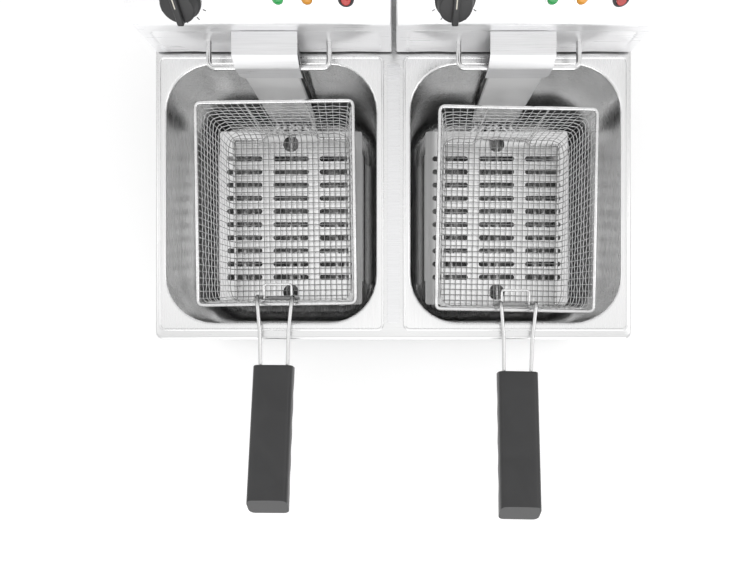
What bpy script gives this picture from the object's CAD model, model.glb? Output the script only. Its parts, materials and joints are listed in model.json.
"""Looks of a countertop deep fryer with two tanks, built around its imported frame.

Metres, +Z up, the front of the fryer faces -Y. Measures that the frame doesn't hold are named
here in millimetres and turned into metres by MM.
"""

import json
import math

import bmesh
import bpy
from mathutils import Matrix, Vector


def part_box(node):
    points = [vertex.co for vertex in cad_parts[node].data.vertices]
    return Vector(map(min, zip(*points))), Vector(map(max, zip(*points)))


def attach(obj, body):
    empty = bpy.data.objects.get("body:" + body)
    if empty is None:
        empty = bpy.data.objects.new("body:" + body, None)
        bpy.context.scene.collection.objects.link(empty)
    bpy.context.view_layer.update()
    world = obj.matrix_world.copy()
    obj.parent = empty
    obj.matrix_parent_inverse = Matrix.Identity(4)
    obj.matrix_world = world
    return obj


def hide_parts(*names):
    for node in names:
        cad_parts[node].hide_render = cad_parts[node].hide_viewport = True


MM = 0.001
SIDES = {"left": -1, "right": 1}
COLUMNS = (-1, 0, 1)
SHEET = 1.2 * MM
SEAM = 0.005 * MM
UP, BACK = (0, 0, 1), (0, 1, 0)
BASKET_TURN = {"left": math.radians(0.8), "right": math.radians(-1.1)}

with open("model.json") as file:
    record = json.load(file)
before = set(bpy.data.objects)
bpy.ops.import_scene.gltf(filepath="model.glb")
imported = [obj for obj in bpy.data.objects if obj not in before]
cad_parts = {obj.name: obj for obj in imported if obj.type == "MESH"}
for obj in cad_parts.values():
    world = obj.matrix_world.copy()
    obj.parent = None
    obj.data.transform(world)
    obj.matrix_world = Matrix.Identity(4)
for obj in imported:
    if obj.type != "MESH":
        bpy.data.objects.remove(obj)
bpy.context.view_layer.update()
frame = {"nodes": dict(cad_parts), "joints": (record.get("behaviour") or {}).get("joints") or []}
scene = bpy.context.scene
joints = {joint["name"]: joint for joint in frame["joints"]}
rim_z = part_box("left_tank")[1].z
neck_web_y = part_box("left_neck_plate")[0].y
basket_floor_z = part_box("left_basket_mesh")[0].z
hook_y = (joints["left_handle_fold"]["pos_m"][1] + joints["right_handle_fold"]["pos_m"][1]) / 2


# ---- camera, floor and light
SENSOR_WIDTH, LENS, NEAREST = 36, 28.6, 0.01
SHIFT_X, SHIFT_Y = -0.0273, 0.0587
CAMERA_X, CAMERA_Y, CAMERA_ABOVE_RIM = 2.4 * MM, -114.7 * MM, 0.7
FLOOR_HALF = 6
SKY_STRENGTH = 1.12
SKY_TONES = ((0.0, 0.46), (0.3, 0.62), (0.7, 0.75), (0.88, 0.74), (0.94, 0.82), (1.0, 1.07))
SOFTBOXES = {
    "front": {"place": (0.2, -2.4, 0.9), "size": (3.2, 2.2), "power": 30, "aim": (0, 0, 0.25)},
    "left": {"place": (-2.2, 0.3, 1.9), "size": (1.0, 1.8), "power": 3.5, "aim": (0, 0, 0.2)},
    "right": {"place": (2.2, 0.1, 2.0), "size": (1.0, 1.8), "power": 6, "aim": (0, 0, 0.2)},
}


def camera():
    """Looks straight down at the tank rims; the shift only sets the framing."""
    data = bpy.data.cameras.new("camera")
    data.sensor_width = SENSOR_WIDTH
    data.lens = LENS
    data.shift_x = SHIFT_X
    data.shift_y = SHIFT_Y
    data.clip_start = NEAREST
    obj = bpy.data.objects.new("camera", data)
    obj.location = (CAMERA_X, CAMERA_Y, rim_z + CAMERA_ABOVE_RIM)
    scene.collection.objects.link(obj)
    scene.camera = obj


def floor():
    bm = bmesh.new()
    bmesh.ops.create_grid(bm, x_segments=2, y_segments=2, size=FLOOR_HALF)
    mesh = bpy.data.meshes.new("floor")
    bm.to_mesh(mesh)
    bm.free()
    mesh.materials.append(plain_floor())
    obj = bpy.data.objects.new("floor", mesh)
    scene.collection.objects.link(obj)


def softbox(name, place, size, power, aim):
    data = bpy.data.lights.new(name, "AREA")
    data.shape = "RECTANGLE"
    data.size, data.size_y = size
    data.energy = power
    obj = bpy.data.objects.new(name, data)
    obj.location = place
    obj.rotation_euler = (Vector(aim) - Vector(place)).to_track_quat("-Z", "Y").to_euler()
    scene.collection.objects.link(obj)


def studio():
    """A pale tent: bright overhead, greyer towards the horizon, with two soft side lights."""
    world = bpy.data.worlds.new("studio")
    scene.world = world
    world.use_nodes = True
    tree = world.node_tree
    tree.nodes.clear()
    direction = tree.nodes.new("ShaderNodeTexCoord")
    split = tree.nodes.new("ShaderNodeSeparateXYZ")
    ramp = tree.nodes.new("ShaderNodeValToRGB")
    sky = ramp.color_ramp.elements
    for height, _ in SKY_TONES[1:-1]:
        sky.new(height)
    for stop, (_, tone) in zip(sky, SKY_TONES):
        stop.color = (tone, tone, tone, 1)
    glow = tree.nodes.new("ShaderNodeBackground")
    glow.inputs["Strength"].default_value = SKY_STRENGTH
    out = tree.nodes.new("ShaderNodeOutputWorld")
    tree.links.new(direction.outputs["Generated"], split.inputs[0])
    tree.links.new(split.outputs["Z"], ramp.inputs["Fac"])
    tree.links.new(ramp.outputs["Color"], glow.inputs["Color"])
    tree.links.new(glow.outputs[0], out.inputs["Surface"])
    for name, light in SOFTBOXES.items():
        softbox(name, **light)
    scene.view_settings.view_transform = "Standard"
    scene.view_settings.look = "None"


# ---- shared shader groups
ACROSS, ALONG = (18, 1100, 1100), (1100, 18, 1100)
NOISE_LOW, NOISE_HIGH = 0.3, 0.7
GRAIN_DETAIL, PORE_DETAIL = 4, 3
BLOTCH_SCALE, BLOTCH_DETAIL, BLOTCH_DISTORTION = 14.0, 3, 0.8
SPECK_SCALE, SPECK_DETAIL = 420, 2


def new_group(name, inputs, outputs):
    """A shader group with named sockets; inputs are (name, socket type, default)."""
    group = bpy.data.node_groups.new(name, "ShaderNodeTree")
    for label, kind, default in inputs:
        socket = group.interface.new_socket(label, in_out="INPUT", socket_type=kind)
        socket.default_value = default
    for label in outputs:
        group.interface.new_socket(label, in_out="OUTPUT", socket_type="NodeSocketFloat")
    return group, group.nodes.new("NodeGroupInput"), group.nodes.new("NodeGroupOutput")


def noise(tree, vector, scale, detail):
    node = tree.nodes.new("ShaderNodeTexNoise")
    node.inputs["Scale"].default_value = scale
    node.inputs["Detail"].default_value = detail
    tree.links.new(vector, node.inputs["Vector"])
    return node.outputs["Fac"]


def spread(tree, value, low, high):
    """Stretches the middle of a noise value to the whole range from low to high."""
    node = tree.nodes.new("ShaderNodeMapRange")
    node.inputs["From Min"].default_value = NOISE_LOW
    node.inputs["From Max"].default_value = NOISE_HIGH
    node.inputs["To Min"].default_value = low
    node.inputs["To Max"].default_value = high
    tree.links.new(value, node.inputs["Value"])
    return node.outputs["Result"]


def brushed_grain():
    """Fine parallel polishing marks: Stretch is how close they lie along each axis, per metre."""
    group, ins, outs = new_group(
        "brushed_grain", [("Stretch", "NodeSocketVector", ACROSS)], ["Marks"])
    place = group.nodes.new("ShaderNodeTexCoord")
    scaled = group.nodes.new("ShaderNodeVectorMath")
    scaled.operation = "MULTIPLY"
    group.links.new(place.outputs["Object"], scaled.inputs[0])
    group.links.new(ins.outputs["Stretch"], scaled.inputs[1])
    marks = noise(group, scaled.outputs[0], 1, GRAIN_DETAIL)
    group.links.new(spread(group, marks, 0, 1), outs.inputs["Marks"])
    return group


def handling_marks():
    """Soft blotches of fat film and wiping, at the scale of a hand."""
    group, ins, outs = new_group(
        "handling_marks", [("Size", "NodeSocketFloat", BLOTCH_SCALE)], ["Film", "Specks"])
    place = group.nodes.new("ShaderNodeTexCoord")
    blotch = group.nodes.new("ShaderNodeTexNoise")
    blotch.inputs["Detail"].default_value = BLOTCH_DETAIL
    blotch.inputs["Distortion"].default_value = BLOTCH_DISTORTION
    group.links.new(place.outputs["Object"], blotch.inputs["Vector"])
    group.links.new(ins.outputs["Size"], blotch.inputs["Scale"])
    group.links.new(spread(group, blotch.outputs["Fac"], 0, 1), outs.inputs["Film"])
    specks = noise(group, place.outputs["Object"], SPECK_SCALE, SPECK_DETAIL)
    group.links.new(spread(group, specks, 0, 1), outs.inputs["Specks"])
    return group


def fade_along():
    """Rises from 0 to 1 along an axis, between two distances from the origin in metres."""
    group, ins, outs = new_group("fade_along", [
        ("Axis", "NodeSocketVector", UP),
        ("From", "NodeSocketFloat", 0.0), ("To", "NodeSocketFloat", 1.0)], ["Fade"])
    place = group.nodes.new("ShaderNodeTexCoord")
    distance = group.nodes.new("ShaderNodeVectorMath")
    distance.operation = "DOT_PRODUCT"
    group.links.new(place.outputs["Object"], distance.inputs[0])
    group.links.new(ins.outputs["Axis"], distance.inputs[1])
    ramp = group.nodes.new("ShaderNodeMapRange")
    ramp.interpolation_type = "SMOOTHSTEP"
    group.links.new(distance.outputs["Value"], ramp.inputs["Value"])
    group.links.new(ins.outputs["From"], ramp.inputs["From Min"])
    group.links.new(ins.outputs["To"], ramp.inputs["From Max"])
    group.links.new(ramp.outputs["Result"], outs.inputs["Fade"])
    return group


GRAIN = brushed_grain()
HANDLING = handling_marks()
FADE = fade_along()


# ---- materials
class Finish:
    """One material: a Principled shader, with a few helpers to feed it from the shared groups."""

    def __init__(self, name, metallic=0.0):
        self.material = bpy.data.materials.new(name)
        self.material.use_nodes = True
        self.tree = self.material.node_tree
        self.shader = self.tree.nodes["Principled BSDF"]
        self.shader.inputs["Metallic"].default_value = metallic

    def group(self, group, **values):
        node = self.tree.nodes.new("ShaderNodeGroup")
        node.node_tree = group
        for label, value in values.items():
            node.inputs[label].default_value = value
        return node

    def blend(self, factor, dark, light, socket="Base Color"):
        node = self.tree.nodes.new("ShaderNodeMix")
        node.data_type = "RGBA"
        node.inputs["A"].default_value = (*dark, 1)
        node.inputs["B"].default_value = (*light, 1)
        self.tree.links.new(factor, node.inputs["Factor"])
        self.tree.links.new(node.outputs["Result"], self.shader.inputs[socket])

    def vary(self, factor, low, high, socket="Roughness"):
        node = self.tree.nodes.new("ShaderNodeMapRange")
        node.inputs["To Min"].default_value = low
        node.inputs["To Max"].default_value = high
        self.tree.links.new(factor, node.inputs["Value"])
        self.tree.links.new(node.outputs["Result"], self.shader.inputs[socket])

    def add(self, first, second, share):
        """first plus share times second."""
        node = self.tree.nodes.new("ShaderNodeMath")
        node.operation = "MULTIPLY_ADD"
        node.inputs[1].default_value = share
        self.tree.links.new(second, node.inputs[0])
        self.tree.links.new(first, node.inputs[2])
        return node.outputs[0]

    def bump(self, height, strength, depth):
        node = self.tree.nodes.new("ShaderNodeBump")
        node.inputs["Strength"].default_value = strength
        node.inputs["Distance"].default_value = depth
        self.tree.links.new(height, node.inputs["Height"])
        self.tree.links.new(node.outputs["Normal"], self.shader.inputs["Normal"])


FILM_SHARE, DULL_MARKS, PORE_FILM = 0.5, 0.12, 0.3
COOL = 1.01
WIRE_DULLER, WIRE_BRIGHTER = 0.1, 0.04
PLASTIC_DARK, PLASTIC_LIGHT, METAL_DARK, LENS_DARK = 0.85, 1.12, 0.82, 0.8
LENS_ROUGHNESS, LENS_COAT = (0.08, 0.2), 0.6
FLOOR_DARK, FLOOR_LIGHT, FLOOR_ROUGHNESS, FLOOR_GLOW = 0.9, 0.92, 0.9, 0.2


def toned(tone, share):
    return tuple(part * share for part in tone)


def marked_steel(name, stretch, roughness, metallic, strength, depth):
    """Steel with brushed marks and a handled film; the caller blends its colour."""
    finish = Finish(name, metallic=metallic)
    marks = finish.group(GRAIN, Stretch=stretch).outputs["Marks"]
    film = finish.group(HANDLING, Size=9.0).outputs["Film"]
    finish.vary(finish.add(marks, film, FILM_SHARE), *roughness)
    finish.bump(marks, strength, depth)
    return finish, marks


def brushed_steel(name, stretch, dark, light, roughness=(0.2, 0.34), metallic=1.0):
    finish, marks = marked_steel(name, stretch, roughness, metallic, strength=0.25, depth=0.05 * MM)
    finish.blend(marks, (dark, dark, dark * COOL), (light, light, light * COOL))
    return finish.material


def dulled_steel(name, stretch, axis, start, end, clean, dull, roughness, metallic=1.0):
    """Brushed steel that turns from dull to clean between two distances along an axis."""
    finish, marks = marked_steel(name, stretch, roughness, metallic, strength=0.2, depth=0.04 * MM)
    fade = finish.group(FADE, Axis=axis, From=start, To=end).outputs["Fade"]
    finish.blend(finish.add(fade, marks, DULL_MARKS), (dull,) * 3, (clean,) * 3)
    return finish.material


def plated_wire(name, roughness=(0.14, 0.3), tone=0.86):
    finish = Finish(name, metallic=1.0)
    marks = finish.group(HANDLING, Size=60.0)
    finish.blend(marks.outputs["Film"], (tone - WIRE_DULLER,) * 3, (tone + WIRE_BRIGHTER,) * 3)
    finish.vary(marks.outputs["Specks"], *roughness)
    finish.bump(marks.outputs["Specks"], strength=0.15, depth=0.04 * MM)
    return finish.material


def moulded_plastic(name, tone, roughness=(0.42, 0.58), grain=900.0, depth=0.06 * MM):
    finish = Finish(name)
    place = finish.tree.nodes.new("ShaderNodeTexCoord")
    pores = noise(finish.tree, place.outputs["Object"], grain, PORE_DETAIL)
    film = finish.group(HANDLING, Size=25.0).outputs["Film"]
    finish.blend(film, toned(tone, PLASTIC_DARK), toned(tone, PLASTIC_LIGHT))
    finish.vary(finish.add(pores, film, PORE_FILM), *roughness)
    finish.bump(pores, strength=0.5, depth=depth)
    return finish.material


def rolled_metal(name, tone, roughness=(0.3, 0.5)):
    finish = Finish(name, metallic=1.0)
    marks = finish.group(HANDLING, Size=40.0)
    finish.blend(marks.outputs["Film"], toned(tone, METAL_DARK), tone)
    finish.vary(marks.outputs["Specks"], *roughness)
    return finish.material


def tinted_lens(name, tone):
    finish = Finish(name)
    marks = finish.group(HANDLING, Size=80.0)
    finish.blend(marks.outputs["Film"], toned(tone, LENS_DARK), tone)
    finish.vary(marks.outputs["Specks"], *LENS_ROUGHNESS)
    finish.shader.inputs["Coat Weight"].default_value = LENS_COAT
    return finish.material


def plain_floor():
    finish = Finish("studio_floor")
    film = finish.group(HANDLING, Size=3.0).outputs["Film"]
    finish.blend(film, (FLOOR_DARK,) * 3, (FLOOR_LIGHT,) * 3)
    finish.shader.inputs["Roughness"].default_value = FLOOR_ROUGHNESS
    finish.shader.inputs["Emission Color"].default_value = (1, 1, 1, 1)
    finish.shader.inputs["Emission Strength"].default_value = FLOOR_GLOW
    return finish.material


def grate_finish(side, sign):
    """Dull where the grate lies under the tank's inner wall, clean farther out."""
    inner_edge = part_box(f"{side}_grate")[0 if sign > 0 else 1].x * sign
    return dulled_steel(
        f"{side}_grate_steel", ALONG, (sign, 0, 0), start=inner_edge + 10 * MM,
        end=inner_edge + 24 * MM, clean=0.97, dull=0.4, roughness=(0.24, 0.36))


body_steel = brushed_steel("brushed_body", ACROSS, dark=0.76, light=0.88)
tank_steel = dulled_steel(
    "drawn_tank", ALONG, UP, start=rim_z - 170 * MM, end=rim_z - 50 * MM,
    clean=0.87, dull=0.4, roughness=(0.19, 0.3))
shell_steel = dulled_steel(
    "brushed_shell", ACROSS, UP, start=rim_z - 6 * MM, end=rim_z - 3.5 * MM,
    clean=0.83, dull=0.6, roughness=(0.2, 0.34))
head_steel = brushed_steel(
    "brushed_head", ACROSS, roughness=(0.24, 0.36), dark=0.93, light=0.98, metallic=0.62)
hood_steel = brushed_steel(
    "brushed_hood", ACROSS, roughness=(0.24, 0.4), dark=0.78, light=0.88, metallic=0.75)
neck_steel = dulled_steel(
    "oiled_neck", ACROSS, BACK, start=neck_web_y + 5 * MM, end=neck_web_y + 2.5 * MM,
    clean=0.97, dull=0.02, roughness=(0.4, 0.52), metallic=0.8)
grate_steel = {side: grate_finish(side, sign) for side, sign in SIDES.items()}
bright_wire = plated_wire("plated_wire")
mesh_wire = dulled_steel(
    "plated_mesh", ACROSS, UP, start=basket_floor_z + 4 * MM, end=basket_floor_z + 30 * MM,
    clean=0.92, dull=0.34, roughness=(0.22, 0.4))
hook_wire = dulled_steel(
    "handle_wire", ACROSS, BACK, start=hook_y + 2 * MM, end=hook_y - 12 * MM,
    clean=0.74, dull=0.26, roughness=(0.14, 0.26))
sheath = dulled_steel(
    "heating_sheath", ALONG, UP, start=rim_z + 12 * MM, end=rim_z - 4 * MM,
    clean=0.92, dull=0.03, roughness=(0.25, 0.4))
grip_plastic = moulded_plastic("grip_plastic", (0.032, 0.032, 0.033), roughness=(0.34, 0.46))
knob_plastic = moulded_plastic("knob_plastic", (0.03, 0.03, 0.031), roughness=(0.3, 0.45))
foot_rubber = moulded_plastic("foot_rubber", (0.018, 0.018, 0.018), roughness=(0.7, 0.85))
pale_plastic = moulded_plastic("pale_plastic", (0.72, 0.69, 0.6))
zinc_sheet = rolled_metal("zinc_sheet", (0.6, 0.61, 0.62))
capillary_tube = rolled_metal("capillary_tube", (0.3, 0.3, 0.3), roughness=(0.3, 0.45))
red_plastic = tinted_lens("red_button", (0.55, 0.02, 0.015))
green_lens = tinted_lens("green_lens", (0.03, 0.42, 0.1))
amber_lens = tinted_lens("amber_lens", (0.85, 0.36, 0.03))


# ---- mesh helpers
SHARP, GRIP_SHARP, FLATNESS = 38, 30, 1
EDGE_STEPS, SPIN_STEPS, KNOB_STEPS = 2, 32, 48


def piece(name, bm, body, material, nodes=(), edge=0.0, sharp=SHARP):
    """Makes the bmesh a piece that rides on a body and stands for the CAD nodes given."""
    mesh = bpy.data.meshes.new(name)
    bm.to_mesh(mesh)
    bm.free()
    mesh.shade_smooth()
    mesh.set_sharp_from_angle(angle=math.radians(sharp))
    mesh.materials.append(material)
    obj = bpy.data.objects.new(name, mesh)
    scene.collection.objects.link(obj)
    if edge:
        bevel = obj.modifiers.new("worn_edge", "BEVEL")
        bevel.width = edge
        bevel.segments = EDGE_STEPS
        bevel.limit_method = "ANGLE"
        bevel.angle_limit = math.radians(sharp)
        bevel.harden_normals = True
    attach(obj, body)
    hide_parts(*nodes)


def side_piece(side, name, bm, body, material, node=None, edge=0.0, sharp=SHARP):
    """A piece of one side, whose name, body and CAD node all start with that side."""
    nodes = [f"{side}_{node}"] if node else []
    piece(f"{side}_{name}", bm, f"{side}_{body}", material, nodes, edge, sharp)


def refined(node, body, material, edge=0.5 * MM):
    """The CAD node's own form with its edges eased."""
    bm = bmesh.new()
    bm.from_mesh(frame["nodes"][node].data)
    bmesh.ops.remove_doubles(bm, verts=bm.verts, dist=SEAM)
    bmesh.ops.dissolve_limit(bm, angle_limit=math.radians(FLATNESS), verts=bm.verts, edges=bm.edges)
    piece(f"{node}_eased", bm, body, material, [node], edge)


def rounded(bm, geom, radius, segments, affect="EDGES"):
    """Rounds the edges given or, with affect VERTICES, the corners of flat faces."""
    bmesh.ops.bevel(bm, geom=geom, offset=radius, offset_type="OFFSET", segments=segments,
                    profile=0.5, affect=affect, material=-1)


def shared_edges(bm):
    return [e for e in bm.edges if len(e.link_faces) == 2]


def chain(bm, points):
    """Edges through a row of points."""
    row = [bm.verts.new(point) for point in points]
    return [bm.edges.new(pair) for pair in zip(row, row[1:])]


def placed(bm, matrix):
    bmesh.ops.transform(bm, matrix=matrix, verts=bm.verts)


def face_out(bm):
    bmesh.ops.recalc_face_normals(bm, faces=bm.faces)


def wall(bm, thickness=SHEET):
    """Gives a sheet its thickness, on the side away from its faces' normals if positive."""
    bmesh.ops.solidify(bm, geom=list(bm.faces), thickness=thickness)


def move_made(bm, made, vec):
    """Moves the vertices that an extrusion has just made."""
    moved = [v for v in made["geom"] if isinstance(v, bmesh.types.BMVert)]
    bmesh.ops.translate(bm, verts=moved, vec=vec)


def draw_sheet(bm, points, vec):
    """A sheet swept from a row of points along a vector."""
    move_made(bm, bmesh.ops.extrude_edge_only(bm, edges=chain(bm, points)), vec)


def block(bm, size, place):
    verts = bmesh.ops.create_cube(bm, size=1)["verts"]
    bmesh.ops.scale(bm, vec=size, verts=verts)
    bmesh.ops.translate(bm, vec=place, verts=verts)
    return verts


def quarter_turn(steps):
    """What is left of a quarter turn's run and what it has dropped, as shares of its radius."""
    for k in range(steps + 1):
        angle = math.radians(90) * k / steps
        yield 1 - math.sin(angle), 1 - math.cos(angle)


def ring(bm, centre, width, length, radius, z, steps=8):
    """A level rounded rectangle of edges."""
    half = Vector((width / 2, length / 2))
    corners = [
        bm.verts.new((centre.x + sx * half.x, centre.y + sy * half.y, z))
        for sx, sy in ((-1, -1), (1, -1), (1, 1), (-1, 1))
    ]
    face = bm.faces.new(corners)
    before = set(bm.faces) - {face}
    rounded(bm, corners, radius, steps, "VERTICES")
    made = [f for f in bm.faces if f not in before]
    edges = list(made[0].edges)
    bmesh.ops.delete(bm, geom=made, context="FACES_ONLY")
    return edges


def loft(bm, rings):
    for lower, upper in zip(rings, rings[1:]):
        bmesh.ops.bridge_loops(bm, edges=lower + upper)


def cap(bm, edges):
    bmesh.ops.edgeloop_fill(bm, edges=edges)


def thicken(bm, thickness):
    """Turns a sheet's normals out and gives it its wall."""
    face_out(bm)
    wall(bm, thickness)


def turned(bm, profile, matrix, steps=SPIN_STEPS):
    """Spins a profile of (radius, height) in millimetres about its axis, then places it."""
    points = [bm.verts.new((radius * MM, 0, height * MM)) for radius, height in profile]
    edges = [bm.edges.new(pair) for pair in zip(points, points[1:])]
    bmesh.ops.spin(bm, geom=points + edges, cent=(0, 0, 0), axis=UP, dvec=(0, 0, 0),
                   angle=math.tau, steps=steps, use_merge=True, use_duplicate=False)
    bmesh.ops.remove_doubles(bm, verts=bm.verts, dist=SEAM)
    face_out(bm)
    placed(bm, matrix)


def bent(corners, bend, steps=6, closed=False):
    """Points along straight runs, with every corner turned in a smooth bend."""
    count = len(corners)
    points = [] if closed else [corners[0]]
    for i in range(count) if closed else range(1, count - 1):
        here, before, after = corners[i], corners[i - 1], corners[(i + 1) % count]
        back, on = (before - here).normalized(), (after - here).normalized()
        reach = bend * math.tan((math.pi - back.angle(on)) / 2)
        start, end = here + back * reach, here + on * reach
        for k in range(steps + 1):
            t = k / steps
            points.append(start * (1 - t) ** 2 + here * 2 * t * (1 - t) + end * t * t)
    return points if closed else points + [corners[-1]]


def add_tubes(bm, paths, radius, closed=False, roundness=4):
    """Round wire along each path, with closed ends."""
    curve = bpy.data.curves.new("wire", "CURVE")
    curve.dimensions = "3D"
    curve.bevel_depth = radius
    curve.bevel_resolution = roundness
    curve.use_fill_caps = True
    for path in paths:
        spline = curve.splines.new("POLY")
        spline.points.add(len(path) - 1)
        for point, place in zip(spline.points, path):
            point.co = (*place, 1)
        spline.use_cyclic_u = closed
    obj = bpy.data.objects.new("wire", curve)
    mesh = bpy.data.meshes.new_from_object(obj)
    bm.from_mesh(mesh)
    bpy.data.objects.remove(obj)
    bpy.data.curves.remove(curve)
    bpy.data.meshes.remove(mesh)


# ---- body
BODY_CORNER, BODY_EDGE = 9 * MM, 4 * MM
TANK_OPENING = Vector((247, 303.4)) * MM
TANK_CORNER = 56 * MM
HOLE_SPARE = 3 * MM
FOOT_BOTTOM = ((-4, 0), (-2, 1.2), (-1, 3), (-1.6, 6))
FOOT_TOP = ((-1.6, -4), (0, -2.4), (0, 0))


def tank_middle(side):
    low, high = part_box(f"{side}_tank")
    return (low + high) / 2


def housing():
    low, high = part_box("housing")
    size, middle = high - low, (low + high) / 2
    bm = bmesh.new()
    rings = [ring(bm, middle, size.x, size.y, BODY_CORNER, low.z)]
    for run, drop in quarter_turn(5):
        inset = BODY_EDGE * drop
        rings.append(ring(bm, middle, size.x - 2 * inset, size.y - 2 * inset, BODY_CORNER - inset,
                          high.z - BODY_EDGE * run))
    loft(bm, rings)
    holes = []
    for side in SIDES:
        width, length = TANK_OPENING + Vector((2 * HOLE_SPARE, 2 * HOLE_SPARE))
        holes += ring(bm, tank_middle(side), width, length, TANK_CORNER + HOLE_SPARE, high.z)
    bmesh.ops.triangle_fill(bm, use_beauty=True, edges=rings[-1] + holes, normal=UP)
    thicken(bm, SHEET)
    piece("body_shell", bm, "base", shell_steel, ["housing"], edge=0.25 * MM)


def foot(node):
    low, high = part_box(node)
    middle = (low + high) / 2
    radius, height = (high.x - low.x) / 2 / MM, (high.z - low.z) / MM
    profile = [(0, 0)] + [(radius + dr, z) for dr, z in FOOT_BOTTOM]
    profile += [(radius + dr, height + dz) for dr, dz in FOOT_TOP] + [(0, height)]
    bm = bmesh.new()
    turned(bm, profile, Matrix.Translation((middle.x, middle.y, low.z)))
    piece(f"{node}_pad", bm, "base", foot_rubber, [node], edge=0.4 * MM)


# ---- tank and grate
BEAD, BEAD_CORNER = 1.5 * MM, 8 * MM
LIP = 3.2 * MM
BEAD_INSET, BEAD_RISE, BEAD_STEPS = 1.05, 0.75, 8
TANK_DEPTH, FLOOR_RADIUS, TANK_TAPER, TANK_SHEET = 182 * MM, 14 * MM, 0.03, 1.0 * MM


def tank(side):
    """A deep-drawn basin whose flange ends in a rolled border bead."""
    low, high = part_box(f"{side}_tank")
    outer, middle = high - low, (low + high) / 2
    bm = bmesh.new()
    rings = [ring(bm, middle, outer.x, outer.y, BEAD_CORNER, rim_z - SHEET)]
    for k in range(BEAD_STEPS + 1):
        angle = math.pi * k / BEAD_STEPS
        inset = BEAD * (BEAD_INSET - math.cos(angle))
        z = rim_z + BEAD_RISE * BEAD * math.sin(angle)
        rings.append(ring(
            bm, middle, outer.x - 2 * inset, outer.y - 2 * inset, BEAD_CORNER - inset, z))
    for run, drop in quarter_turn(5):
        spare = LIP * run
        width, length = TANK_OPENING + Vector((2 * spare, 2 * spare))
        rings.append(ring(bm, middle, width, length, TANK_CORNER + spare, rim_z - LIP * drop))
    for run, drop in quarter_turn(6):
        depth = TANK_DEPTH - FLOOR_RADIUS * run
        inset = FLOOR_RADIUS * drop
        shrink = 1 - TANK_TAPER * depth / TANK_DEPTH
        width, length = TANK_OPENING * shrink - Vector((2 * inset, 2 * inset))
        rings.append(ring(bm, middle, width, length, TANK_CORNER * shrink - inset, rim_z - depth))
    loft(bm, rings)
    cap(bm, rings[-1])
    thicken(bm, TANK_SHEET)
    side_piece(side, "basin", bm, "tank_body", tank_steel, "tank")


SLOT = Vector((49.6, 7.1)) * MM
COLUMN_PITCH, ROW_PITCH, ROWS = 64.8 * MM, 18.4 * MM, 10
FINGER_HOLE, FINGER_INSET = 22 * MM, 17.5 * MM
ROUND_END, SLOT_STEPS = 0.497, 5
GRATE_SHEET, GRATE_FOLD, GRATE_CORNER = 1.5 * MM, 3 * MM, 4 * MM
SKIRT, SKIRT_GAP = 176 * MM, 0.3 * MM


def grate(side):
    """A slotted plate with finger holes, folded down along both sides."""
    low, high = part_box(f"{side}_grate")
    size, middle = high - low, (low + high) / 2
    top = high.z
    bm = bmesh.new()
    cuts = []
    for row in range(ROWS):
        for column in COLUMNS:
            place = middle + Vector((column * COLUMN_PITCH, (row - (ROWS - 1) / 2) * ROW_PITCH, 0))
            cuts += ring(bm, place, *SLOT, SLOT.y * ROUND_END, top, SLOT_STEPS)
    for end in (-1, 1):
        place = middle + Vector((0, end * (size.y / 2 - FINGER_INSET), 0))
        cuts += ring(bm, place, FINGER_HOLE, FINGER_HOLE, FINGER_HOLE * ROUND_END, top)
    outline = ring(bm, middle, size.x - 2 * GRATE_FOLD, size.y, GRATE_CORNER, top, steps=4)
    bmesh.ops.triangle_fill(bm, use_beauty=True, edges=outline + cuts, normal=UP)
    for sign in (-1, 1):
        skirt(bm, middle.x + sign * size.x / 2, sign, middle.y, top, low.z)
    thicken(bm, GRATE_SHEET)
    side_piece(side, "slotted_grate", bm, "grate_body", grate_steel[side], "grate",
               edge=0.3 * MM)


def skirt(bm, x, sign, y, top, foot_z):
    """One side of the grate: a rounded fold with a wall below it."""
    rows = [(x - sign * GRATE_FOLD * run, top - GRATE_FOLD * drop) for run, drop in quarter_turn(4)]
    rows.append((x, foot_z + SKIRT_GAP))
    draw_sheet(bm, [(px, y - SKIRT / 2, pz) for px, pz in rows], (0, SKIRT, 0))


# ---- control head
LOWER_FRONT, LEAN = 64 * MM, 29 * MM
CASING_EDGE = 2.2 * MM
FACING, SQUARE_FACING = 0.9, 0.99
BORDER_INSET, BORDER_CORNER, BORDER_WIDTH, BORDER_DEPTH = 9 * MM, 9 * MM, 4.5 * MM, 0.5 * MM
BORDER_STEPS, BORDER_BACK = 8, 0.999


def front_border(bm, face):
    """A pressed border line round the casing's upright front."""
    bmesh.ops.inset_region(bm, faces=[face], thickness=BORDER_INSET, depth=0, use_even_offset=True)
    rounded(bm, list(face.verts), BORDER_CORNER, BORDER_STEPS, "VERTICES")
    panel = max(bm.faces, key=lambda f: len(f.verts))
    for depth in (-BORDER_DEPTH, 0.0, BORDER_DEPTH * BORDER_BACK):
        bmesh.ops.inset_region(
            bm, faces=[panel], thickness=BORDER_WIDTH / 3, depth=depth, use_even_offset=True)


def head_casing(side):
    low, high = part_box(f"{side}_head_casing")
    outline = [(low.y, low.z), (low.y, rim_z + LOWER_FRONT), (low.y + LEAN, high.z),
               (high.y, high.z), (high.y, low.z)]
    bm = bmesh.new()
    profile = bm.faces.new([bm.verts.new((low.x, y, z)) for y, z in outline])
    move_made(bm, bmesh.ops.extrude_face_region(bm, geom=[profile]), (high.x - low.x, 0, 0))
    face_out(bm)
    open_faces = [f for f in bm.faces if f.normal.y > FACING or f.normal.z < -FACING]
    bmesh.ops.delete(bm, geom=open_faces, context="FACES")
    rounded(bm, shared_edges(bm), CASING_EDGE, segments=4)
    front = max((f for f in bm.faces if f.normal.y < -SQUARE_FACING), key=lambda f: f.calc_area())
    front_border(bm, front)
    wall(bm)
    side_piece(side, "casing", bm, "head", head_steel, "head_casing", edge=0.2 * MM)


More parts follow.
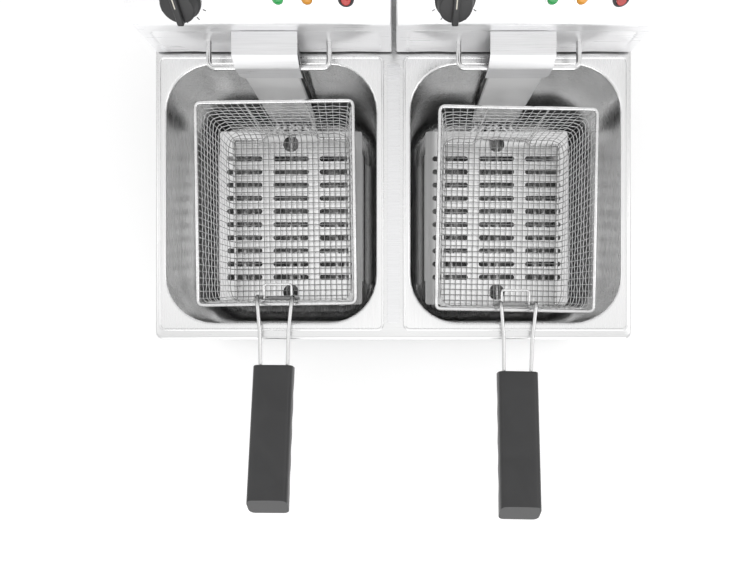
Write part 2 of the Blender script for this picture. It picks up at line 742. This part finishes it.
def folded_strip(bm, points, width, middle_x, bend):
    """A sheet strip that follows a side outline, with rounded folds."""
    draw_sheet(bm, [(middle_x - width / 2, y, z) for y, z in points], (width, 0, 0))
    rounded(bm, shared_edges(bm), bend, segments=6)


NECK_FLAT, NECK_SLANT_DROP = 26 * MM, 15 * MM
HEM_BACK, HEM_DROP, HOOD_BEND = 0.9 * MM, 1.6 * MM, 1.2 * MM


def neck_cover(side):
    """A hood whose sloping front ends in a hem, with a lip that hangs down behind it."""
    low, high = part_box(f"{side}_neck_cover")
    fold_y, hem_z = high.y - NECK_FLAT, high.z - NECK_SLANT_DROP
    points = [(high.y, high.z), (fold_y, high.z), (low.y, hem_z), (low.y + HEM_BACK, hem_z - HEM_DROP)]
    bm = bmesh.new()
    folded_strip(bm, points, high.x - low.x, (low.x + high.x) / 2, HOOD_BEND)
    face_out(bm)
    if sum(f.normal.z * f.calc_area() for f in bm.faces) < 0:
        bmesh.ops.reverse_faces(bm, faces=bm.faces)
    wall(bm)
    side_piece(side, "neck_hood", bm, "head", hood_steel, "neck_cover", edge=0.25 * MM)
    hood_lip(side, low, high, hem_z)


LIP_CORNER, LIP_SETBACK = 7 * MM, 1.3 * MM


def hood_lip(side, low, high, hem_z):
    """The hanging lip, with its outer corner cut away."""
    y = low.y + LIP_SETBACK
    corners = [(low.x, low.z), (high.x, low.z), (high.x, hem_z), (low.x, hem_z)]
    bm = bmesh.new()
    verts = [bm.verts.new((x, y, z)) for x, z in corners]
    bm.faces.new(verts)
    outer_corner = verts[0 if SIDES[side] < 0 else 1]
    rounded(bm, [outer_corner], LIP_CORNER, segments=5, affect="VERTICES")
    wall(bm, -SHEET)
    face_out(bm)
    side_piece(side, "hood_lip", bm, "head", hood_steel, edge=0.4 * MM)


NECK_GAP, NECK_BEND = 0.5 * MM, 2 * MM


def neck_plate(side):
    """An open channel, drawn in plan and carried down into the oil."""
    low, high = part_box(f"{side}_neck_plate")
    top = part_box(f"{side}_neck_cover")[0].z - NECK_GAP
    plan = [(low.x, high.y), (low.x, low.y), (high.x, low.y), (high.x, high.y)]
    bm = bmesh.new()
    draw_sheet(bm, [(x, y, top) for x, y in plan], (0, 0, low.z - top))
    rounded(bm, shared_edges(bm), NECK_BEND, segments=4)
    face_out(bm)
    web = max(bm.faces, key=lambda f: f.calc_area())
    if web.normal.y > 0:
        bmesh.ops.reverse_faces(bm, faces=bm.faces)
    wall(bm)
    side_piece(side, "neck_channel", bm, "head", neck_steel, "neck_plate", edge=0.25 * MM)


REST_BEND = 8 * MM


def basket_rest(side):
    low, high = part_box(f"{side}_basket_rest")
    radius = (high.z - low.z) / 2
    z = (low.z + high.z) / 2
    left, right, front = low.x + radius, high.x - radius, low.y + radius
    corners = [Vector((x, y, z)) for x, y in
               ((left, high.y), (left, front), (right, front), (right, high.y))]
    bm = bmesh.new()
    add_tubes(bm, [bent(corners, REST_BEND, steps=8)], radius, roundness=6)
    side_piece(side, "rest_wire", bm, "head", bright_wire, "basket_rest")


# ---- heating element
TUBE, LOOP_HALF, RISE_PITCH, ELEMENT_PITCH = 4 * MM, 6 * MM, 10 * MM, 66 * MM
RUN_DEPTH, RISE_BACK, RISE_END = 152 * MM, 11 * MM, 1 * MM
SPLAY_START, SPLAY_RUN, TUBE_BEND = 16 * MM, 42 * MM, 5.9 * MM


def heating_element(side):
    low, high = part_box(f"{side}_heating_element")
    middle_x = (low.x + high.x) / 2
    run_z = rim_z - RUN_DEPTH
    rise_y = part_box(f"{side}_neck_plate")[0].y + RISE_BACK
    bend_y = rise_y - SPLAY_START
    top_z = high.z - TUBE
    front = low.y + TUBE
    paths = []
    for column in COLUMNS:
        legs = []
        for leg in (-1, 1):
            rise_x = middle_x + (column * 2 + leg * 0.5) * RISE_PITCH
            run_x = middle_x + column * ELEMENT_PITCH + leg * LOOP_HALF
            legs.append([
                Vector((rise_x, high.y - RISE_END, top_z)), Vector((rise_x, rise_y, top_z)),
                Vector((rise_x, rise_y, run_z)), Vector((rise_x, bend_y, run_z)),
                Vector((run_x, bend_y - abs(column) * SPLAY_RUN, run_z)),
                Vector((run_x, front, run_z)),
            ])
        paths.append(bent(legs[0] + legs[1][::-1], TUBE_BEND, steps=6))
    bm = bmesh.new()
    add_tubes(bm, paths, TUBE, roundness=4)
    add_straps(bm, middle_x, front, run_z, rise_y)
    side_piece(side, "hairpins", bm, "head", sheath, "heating_element")


FLOOR_STRAP, FLOOR_STRAP_SIZE = Vector((0, 70, -3.9)) * MM, Vector((160, 10, 2.2)) * MM
RISE_STRAP, RISE_STRAP_SIZE = Vector((0, 3.5, -70)) * MM, Vector((58, 4, 14)) * MM


def add_straps(bm, middle_x, front, run_z, rise_y):
    """The flat bars that hold the tubes at their spacing."""
    block(bm, FLOOR_STRAP_SIZE, Vector((middle_x, front, run_z)) + FLOOR_STRAP)
    block(bm, RISE_STRAP_SIZE, Vector((middle_x, rise_y, rim_z)) + RISE_STRAP)


# ---- controls
# Turned profiles are (radius, height above the panel) in millimetres.
KNOB_PROFILE = ((0, 0.8), (20.6, 0.8), (21, 1.4), (21, 2.6), (19.6, 4.2), (18.4, 6), (17.4, 14.5),
                (16.2, 16.4), (13, 17), (0, 17))
FIN_SIZE, FIN_PLACE, FIN_EDGE = Vector((7, 32, 10)) * MM, Vector((0, 0, 18)) * MM, 1.6 * MM
POINTER_SIZE, POINTER_PLACE = Vector((1.2, 12, 0.5)) * MM, Vector((0, 9, 23)) * MM
TICKS, TICK_ANGLE = 10, math.radians(30)
TICK_SIZE, TICK_PLACE = Vector((0.9, 3.4, 0.4)) * MM, Vector((0, 25, 0.15)) * MM
BEZEL_PROFILE = ((5.4, 0.1), (7.6, 0.1), (7.6, 1.0), (7.0, 1.7), (5.8, 1.7), (5.4, 1.2), (5.4, 0.1))
LENS_RADIUS, LENS_FOOT, LENS_SHOULDER, LENS_RISE = 5.4, -6, 1.4, 3
LENS_ANGLES = (0.25, 0.6, 0.95, 1.3)
RESET_PROFILE = ((0, -6), (5, -6), (5, 4), (4.6, 4.7), (3.8, 5), (2.6, 4.7), (0, 4.5))
COLLAR_PROFILE = (
    (5.4, 0.05), (8.4, 0.05), (8.4, 1.4), (7.8, 2.2), (6, 2.2), (5.4, 1.6), (5.4, 0.05))


def panel_matrix(node):
    """A frame on the sloping panel, with +Z straight out of it at the middle of the node."""
    joint = joints[f"{node.split('_')[0]}_knob_turn"]
    out = -Vector(joint["axis"])
    pivot = Vector(joint["pos_m"])
    low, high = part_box(node)
    pivot.x = (low.x + high.x) / 2
    across = Vector((1, 0, 0))
    turn = Matrix((across, out.cross(across), out)).transposed().to_4x4()
    return Matrix.Translation(pivot) @ turn


def knob(side):
    node = f"{side}_thermostat_knob"
    matrix = panel_matrix(node)
    bm = bmesh.new()
    turned(bm, KNOB_PROFILE, matrix, KNOB_STEPS)
    fin = block(bm, FIN_SIZE, FIN_PLACE)
    bmesh.ops.transform(bm, matrix=matrix, verts=fin)
    rounded(bm, list({e for v in fin for e in v.link_edges}), FIN_EDGE, segments=4)
    piece(f"{side}_knob_cap", bm, f"{side}_knob", knob_plastic, [node], edge=0.3 * MM)
    pointer(side, matrix)
    dial(side, matrix)


def pointer(side, matrix):
    bm = bmesh.new()
    block(bm, POINTER_SIZE, POINTER_PLACE)
    placed(bm, matrix)
    side_piece(side, "knob_pointer", bm, "knob", pale_plastic, edge=0.15 * MM)


def dial(side, matrix):
    """Raised tick marks round the knob, over its 270 degrees of travel."""
    bm = bmesh.new()
    for step in range(TICKS):
        tick = block(bm, TICK_SIZE, TICK_PLACE)
        turn = Matrix.Rotation(-TICK_ANGLE * step, 3, "Z")
        bmesh.ops.rotate(bm, verts=tick, cent=(0, 0, 0), matrix=turn)
    placed(bm, matrix)
    side_piece(side, "dial_marks", bm, "head", knob_plastic, edge=0.1 * MM)


def lamp(side, kind, material):
    node = f"{side}_{kind}_lamp"
    matrix = panel_matrix(node)
    dome = [(0, LENS_FOOT), (LENS_RADIUS, LENS_FOOT), (LENS_RADIUS, LENS_SHOULDER)]
    dome += [(LENS_RADIUS * math.cos(a), LENS_SHOULDER + LENS_RISE * math.sin(a)) for a in LENS_ANGLES]
    bm = bmesh.new()
    turned(bm, dome + [(0, LENS_SHOULDER + LENS_RISE)], matrix)
    piece(f"{side}_{kind}_lens", bm, f"{side}_head", material, [node])
    bm = bmesh.new()
    turned(bm, BEZEL_PROFILE, matrix)
    piece(f"{side}_{kind}_bezel", bm, f"{side}_head", bright_wire)


def reset_button(side):
    node = f"{side}_reset_button"
    matrix = panel_matrix(node)
    bm = bmesh.new()
    turned(bm, RESET_PROFILE, matrix)
    piece(f"{side}_reset_cap", bm, f"{side}_reset", red_plastic, [node])
    bm = bmesh.new()
    turned(bm, COLLAR_PROFILE, matrix)
    piece(f"{side}_reset_collar", bm, f"{side}_head", knob_plastic)


# ---- basket
MESH_PITCH, WIRE = 7.6 * MM, 0.54 * MM
WALL_ROWS, TOP_CORNER, FLOOR_CORNER = 12, 6 * MM, 20 * MM
WEAVE = 0.5 * MM
WALL_EASE, LAST_WIRE_ANGLE = 1.02, math.radians(48)
TURN_IN, TURN_SHARE, TURN_HEIGHT = 3 * MM, 0.6, 0.8 * MM
MESH_TOP, MESH_FLOOR, MESH_DROP = Vector((92, 119)) * MM, Vector((83, 115)) * MM, 1.2 * MM


def basket_matrix(side):
    low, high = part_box(f"{side}_basket_rim")
    middle = (low + high) / 2
    return Matrix.Translation(middle) @ Matrix.Rotation(BASKET_TURN[side], 4, "Z")


def basket_piece(side, name, bm, material, node):
    """Sets a piece made in the basket's own frame in its turned place."""
    placed(bm, basket_matrix(side))
    side_piece(side, name, bm, "basket", material, node)


class Weave:
    """The woven skin, in the basket's own frame: z is 0 at the rim wire and the floor is below."""

    def __init__(self, top, floor, depth):
        self.top, self.floor, self.depth = top, floor, depth

    def level(self, row):
        """Half width, half length, corner radius and z of one wall row."""
        share = row / WALL_ROWS
        eased = min(1.0, share * WALL_EASE)
        half = self.top.lerp(self.floor, eased)
        corner = TOP_CORNER + (FLOOR_CORNER - TOP_CORNER) * share
        return half.x, half.y, corner, -self.depth * share

    def wall_point(self, row, family, index, end, bulge):
        """Where upright wire number index of a family crosses a row, on the wall at that end."""
        half_x, half_y, corner, z = self.level(row)
        floor_x, floor_y, floor_corner, _ = self.level(WALL_ROWS)
        across, out = (half_x, half_y) if family == "x" else (half_y, half_x)
        floor_across = floor_x if family == "x" else floor_y
        floor_run = floor_across - floor_corner
        place = abs(index) * MESH_PITCH
        if place <= floor_run:
            share = place / (floor_run + floor_corner * math.pi / 4)
        else:
            angle = math.asin(min(1.0, (place - floor_run) / floor_corner))
            share = (floor_run + floor_corner * angle) / (floor_run + floor_corner * math.pi / 4)
        run = across - corner
        length = share * (run + corner * math.pi / 4)
        if length <= run:
            side, depth, lean = length, out, 0.0
        else:
            lean = (length - run) / corner
            side, depth = run + corner * math.sin(lean), out - corner * (1 - math.cos(lean))
        side = math.copysign(side + bulge * math.sin(lean), index) if index else 0.0
        depth = end * (depth + bulge * math.cos(lean))
        return Vector((side, depth, z) if family == "x" else (depth, side, z))

    def counts(self):
        floor_x, floor_y, corner, _ = self.level(WALL_ROWS)
        spare = corner * (1 - math.sin(LAST_WIRE_ANGLE))
        return int((floor_x - spare) / MESH_PITCH), int((floor_y - spare) / MESH_PITCH)

    def upright(self, family, index):
        """One wire that comes down a wall, crosses the floor and goes up the opposite wall."""
        _, _, _, z = self.level(WALL_ROWS)
        other = self.counts()[1 if family == "x" else 0]
        flip = 1 if family == "x" else -1
        down, up = ([self.wall_point(row, family, index, end, WEAVE * (-1) ** (row + index))
                     for row in range(WALL_ROWS)] for end in (-1, 1))
        across = []
        for crossing in range(-other, other + 1):
            height = z + flip * WEAVE * (-1) ** (crossing + index)
            flat = Vector((index * MESH_PITCH, crossing * MESH_PITCH, height))
            across.append(flat if family == "x" else Vector((flat.y, flat.x, height)))
        start, end = down[-1].copy(), up[-1].copy()
        start.z = end.z = z + TURN_IN
        low_start = across[0].lerp(start, TURN_SHARE)
        low_end = across[-1].lerp(end, TURN_SHARE)
        low_start.z = low_end.z = z + TURN_HEIGHT
        return down + [low_start] + across + [low_end] + up[::-1]

    def hoop(self, row):
        """One level wire round the walls, woven between the uprights."""
        count_x, count_y = self.counts()
        points = []
        over_x, over_y = (range(-count, count + 1) for count in (count_x, count_y))
        walls = (("x", -1, over_x), ("y", 1, over_y), ("x", 1, over_x[::-1]), ("y", -1, over_y[::-1]))
        for family, end, indices in walls:
            points += [self.wall_point(row, family, i, end, -WEAVE * (-1) ** (row + i))
                       for i in indices]
        return points


def woven_basket(side):
    rim_low, rim_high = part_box(f"{side}_basket_rim")
    mesh_low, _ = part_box(f"{side}_basket_mesh")
    depth = (rim_low.z + rim_high.z) / 2 - mesh_low.z - MESH_DROP
    weave = Weave(MESH_TOP, MESH_FLOOR, depth)
    count_x, count_y = weave.counts()
    bm = bmesh.new()
    paths = [weave.upright("x", i) for i in range(-count_x, count_x + 1)]
    paths += [weave.upright("y", i) for i in range(-count_y, count_y + 1)]
    add_tubes(bm, paths, WIRE, roundness=1)
    hoops = [weave.hoop(row) for row in range(1, WALL_ROWS)]
    add_tubes(bm, hoops, WIRE, closed=True, roundness=1)
    basket_piece(side, "woven_basket", bm, mesh_wire, "basket_mesh")


RIM_WIRE, FRAME_WIRE = 2.25 * MM, 2 * MM
BASKET_SIZE = Vector((194, 248)) * MM
FRAME_SIZE = Vector((163, 229)) * MM
BUMP_WIDTH, BUMP_DEPTH, BUMP_SLANT = 68 * MM, 7 * MM, 6 * MM
RIM_BEND, FRAME_BEND = 6.5 * MM, 3.2 * MM
STAY_X, STAY_WIRE, STAY_FOOT = 37 * MM, 1.3 * MM, 3 * MM
STAY_TOP, STAY_MIDDLE, STAY_FOOT_Y = Vector((120.9, -1)) * MM, Vector((119.6, -50)) * MM, 117.4 * MM


def rectangle(size, radius, z):
    x, y = size.x / 2 - radius, size.y / 2 - radius
    return [Vector((-x, -y, z)), Vector((x, -y, z)), Vector((x, y, z)), Vector((-x, y, z))]


def basket_rim(side):
    bm = bmesh.new()
    path = bent(rectangle(BASKET_SIZE, RIM_WIRE, 0), RIM_BEND, steps=7, closed=True)
    add_tubes(bm, [path], RIM_WIRE, closed=True, roundness=5)
    basket_piece(side, "rim_wire", bm, bright_wire, "basket_rim")


def basket_frame(side):
    """The wire under the floor, with its step at the back and two stays up the rear wall."""
    rim_low, rim_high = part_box(f"{side}_basket_rim")
    low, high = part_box(f"{side}_basket_frame")
    drop = (low.z + high.z - rim_low.z - rim_high.z) / 2
    front_left, front_right, rear_right, rear_left = rectangle(FRAME_SIZE, FRAME_WIRE, drop)
    half = BUMP_WIDTH / 2
    step = [Vector((x, rear_right.y + back, drop)) for x, back in
            ((half + BUMP_SLANT, 0), (half, BUMP_DEPTH), (-half, BUMP_DEPTH),
             (-half - BUMP_SLANT, 0))]
    corners = [front_left, front_right, rear_right, *step, rear_left]
    bm = bmesh.new()
    path = bent(corners, FRAME_BEND, steps=5, closed=True)
    add_tubes(bm, [path], FRAME_WIRE, closed=True, roundness=4)
    stay = (STAY_TOP, STAY_MIDDLE, (STAY_FOOT_Y, drop + STAY_FOOT))
    add_tubes(bm, [[Vector((x, *point)) for point in stay] for x in (-STAY_X, STAY_X)], STAY_WIRE,
              roundness=3)
    basket_piece(side, "floor_wire", bm, bright_wire, "basket_frame")


BRACKET_WIRE, BRACKET_WIDTH, BRACKET_REACH, BRACKET_DROP = 1.5 * MM, 33 * MM, 17 * MM, 22 * MM
BRACKET_GAP, BRACKET_TOP, BRACKET_BEND = 3 * MM, 2 * MM, 3.5 * MM
HANDLE_OFFSET = {"left": 1.6 * MM, "right": 0.0}


def handle_bracket(side):
    x = BRACKET_WIDTH / 2
    front = -BASKET_SIZE.y / 2 + 2 * RIM_WIRE + BRACKET_WIRE + BRACKET_GAP
    reach = front + BRACKET_REACH
    top, foot = BRACKET_TOP, BRACKET_TOP - BRACKET_DROP
    corners = [Vector((-x, front, foot)), Vector((-x, front, top)), Vector((-x, reach, top)),
               Vector((x, reach, top)), Vector((x, front, top)), Vector((x, front, foot))]
    bm = bmesh.new()
    add_tubes(bm, [bent(corners, BRACKET_BEND, steps=6)], BRACKET_WIRE)
    aside = Matrix.Translation((HANDLE_OFFSET[side], 0, 0))
    placed(bm, aside)
    basket_piece(side, "bracket_loop", bm, bright_wire, "handle_bracket")


# ---- handle, in its hinge's frame
LEG_WIRE, RIM_SPACING, WAIST_SPACING, GRIP_SPACING = 2.4 * MM, 41.4 * MM, 33.6 * MM, 31.5 * MM
LEG_RISE, LEG_WAIST, LEG_REACH, SOCKET = 50 * MM, 40 * MM, 81.75 * MM, 36 * MM
GRIP_SLOPE, LEG_BEND = math.radians(11), 7 * MM


def hinge_matrix(side):
    joint = joints[f"{side}_handle_fold"]
    across = -Vector(joint["axis"])
    up = Vector(UP)
    turn = Matrix((across, up.cross(across), up)).transposed().to_4x4()
    return Matrix.Translation(joint["pos_m"]) @ turn


def handle_wire(side):
    legs = []
    for sign in (-1, 1):
        rim_x, waist_x, grip_x = (sign * w / 2 for w in (RIM_SPACING, WAIST_SPACING, GRIP_SPACING))
        legs.append([
            Vector((rim_x, 0, 0)), Vector((rim_x, 0, LEG_RISE)),
            Vector((waist_x, -LEG_WAIST, LEG_RISE)), Vector((grip_x, -LEG_REACH, LEG_RISE)),
            Vector((grip_x, -LEG_REACH - SOCKET * math.cos(GRIP_SLOPE),
                    LEG_RISE + SOCKET * math.sin(GRIP_SLOPE))),
        ])
    bm = bmesh.new()
    add_tubes(bm, [bent(legs[0][::-1] + legs[1], LEG_BEND, steps=8)], LEG_WIRE, roundness=6)
    placed(bm, hinge_matrix(side))
    side_piece(side, "handle_legs", bm, "handle", hook_wire, "handle_wire")


GRIP_LENGTH, GRIP_WIDTH, GRIP_THICKNESS, GRIP_CORNER = 166.5 * MM, 46 * MM, 25 * MM, 6.5 * MM
GRIP_STEPS, GRIP_CROWN, NOSE, REAR_EDGE = 56, 0.9 * MM, 16 * MM, 1.6 * MM
FINGERS, WAVE, WAVE_START, WAVE_END, WAVE_SIDE = 4, 1.5 * MM, 0.1, 0.86, 0.6
EDGE_STATIONS, FLAT_CUTS, GRIP_SINK = (0, 0.0015, 0.004, 0.007), 8, 2 * MM


def grip_section(bm, t):
    """One cross-section of the grip at the share t of its length, lying in the X-Z plane."""
    start = min(1.0, t * GRIP_LENGTH / REAR_EDGE)
    shrink = REAR_EDGE * (1 - math.sqrt(1 - (1 - start) ** 2))
    loop = ring(bm, Vector((0, 0)), GRIP_WIDTH - 2 * shrink, GRIP_THICKNESS - 2 * shrink,
                GRIP_CORNER - shrink, z=0, steps=5)
    flats = [e for e in loop if e.calc_length() > GRIP_WIDTH / 2]
    made = bmesh.ops.subdivide_edges(bm, edges=flats, cuts=FLAT_CUTS)
    loop = set(loop) | {e for part in made.values() for e in part if isinstance(e, bmesh.types.BMEdge)}
    verts = list({v for e in loop for v in e.verts})
    held = WAVE_START < t < WAVE_END
    turn = math.tau * FINGERS * (t - WAVE_START) / (WAVE_END - WAVE_START)
    wave = WAVE * (1 - math.cos(turn)) / 2 if held else 0.0
    for v in verts:
        across = 2 * v.co.x / GRIP_WIDTH
        if v.co.y > 0:
            v.co.y += GRIP_CROWN * (1 - across * across) - GRIP_CROWN
        else:
            depth = -2 * v.co.y / GRIP_THICKNESS
            v.co.x -= WAVE_SIDE * wave * across * depth
            v.co.y += wave * (1 - abs(across)) * depth
    return list(loop), verts


def handle_grip(side):
    """A moulded bar: crowned top, eased edges, finger waves on its lower half, sloped nose."""
    bm = bmesh.new()
    rings = []
    stations = [*EDGE_STATIONS] + [(k + 1) / GRIP_STEPS for k in range(GRIP_STEPS)]
    upright = Matrix.Rotation(math.radians(90), 4, "X")
    for t in stations:
        loop, verts = grip_section(bm, t)
        along = Matrix.Translation((0, -GRIP_LENGTH * t, 0))
        bmesh.ops.transform(bm, matrix=along @ upright, verts=verts)
        rings.append(loop)
    loft(bm, rings)
    cap(bm, rings[0])
    cap(bm, rings[-1])
    nose_top = Vector((0, NOSE - GRIP_LENGTH, GRIP_THICKNESS / 2))
    nose_out = Vector((0, -GRIP_THICKNESS, NOSE)).normalized()
    cut = bmesh.ops.bisect_plane(bm, geom=bm.verts[:] + bm.edges[:] + bm.faces[:], plane_co=nose_top,
                                 plane_no=nose_out, clear_outer=True)["geom_cut"]
    cap(bm, [e for e in cut if isinstance(e, bmesh.types.BMEdge)])
    face_out(bm)
    rear = Vector((0, GRIP_SINK * math.sin(GRIP_SLOPE) - LEG_REACH, LEG_RISE - GRIP_SINK))
    tilt = Matrix.Rotation(-GRIP_SLOPE, 4, "X")
    seat = hinge_matrix(side) @ Matrix.Translation(rear) @ tilt
    placed(bm, seat)
    side_piece(side, "grip", bm, "handle", grip_plastic, "handle_grip",
               edge=0.7 * MM, sharp=GRIP_SHARP)


# ---- build
def inner_parts(side):
    """Parts inside the head keep their plain form; only their finish is set."""
    finishes = {
        "thermostat_body": zinc_sheet, "safety_cutout": pale_plastic, "contactor": knob_plastic,
        "terminal_block": pale_plastic, "thermostat_bulb": capillary_tube,
    }
    for node, material in finishes.items():
        frame["nodes"][f"{side}_{node}"].data.materials[0] = material


camera()
floor()
studio()
housing()
frame["nodes"]["base_plate"].data.materials[0] = zinc_sheet
refined("centre_strip", "base", body_steel, edge=0.25 * MM)
for corner in ("front_left", "front_right", "rear_left", "rear_right"):
    foot(f"foot_{corner}")
for side in SIDES:
    tank(side)
    grate(side)
    head_casing(side)
    refined(f"{side}_head_back", f"{side}_head", head_steel, edge=0.2 * MM)
    refined(f"{side}_head_base", f"{side}_head", zinc_sheet, edge=0.2 * MM)
    refined(f"{side}_cable_gland", f"{side}_head", knob_plastic, edge=0.4 * MM)
    neck_cover(side)
    neck_plate(side)
    basket_rest(side)
    heating_element(side)
    knob(side)
    lamp(side, "power", green_lens)
    lamp(side, "heating", amber_lens)
    reset_button(side)
    woven_basket(side)
    basket_rim(side)
    basket_frame(side)
    handle_bracket(side)
    handle_wire(side)
    handle_grip(side)
    inner_parts(side)
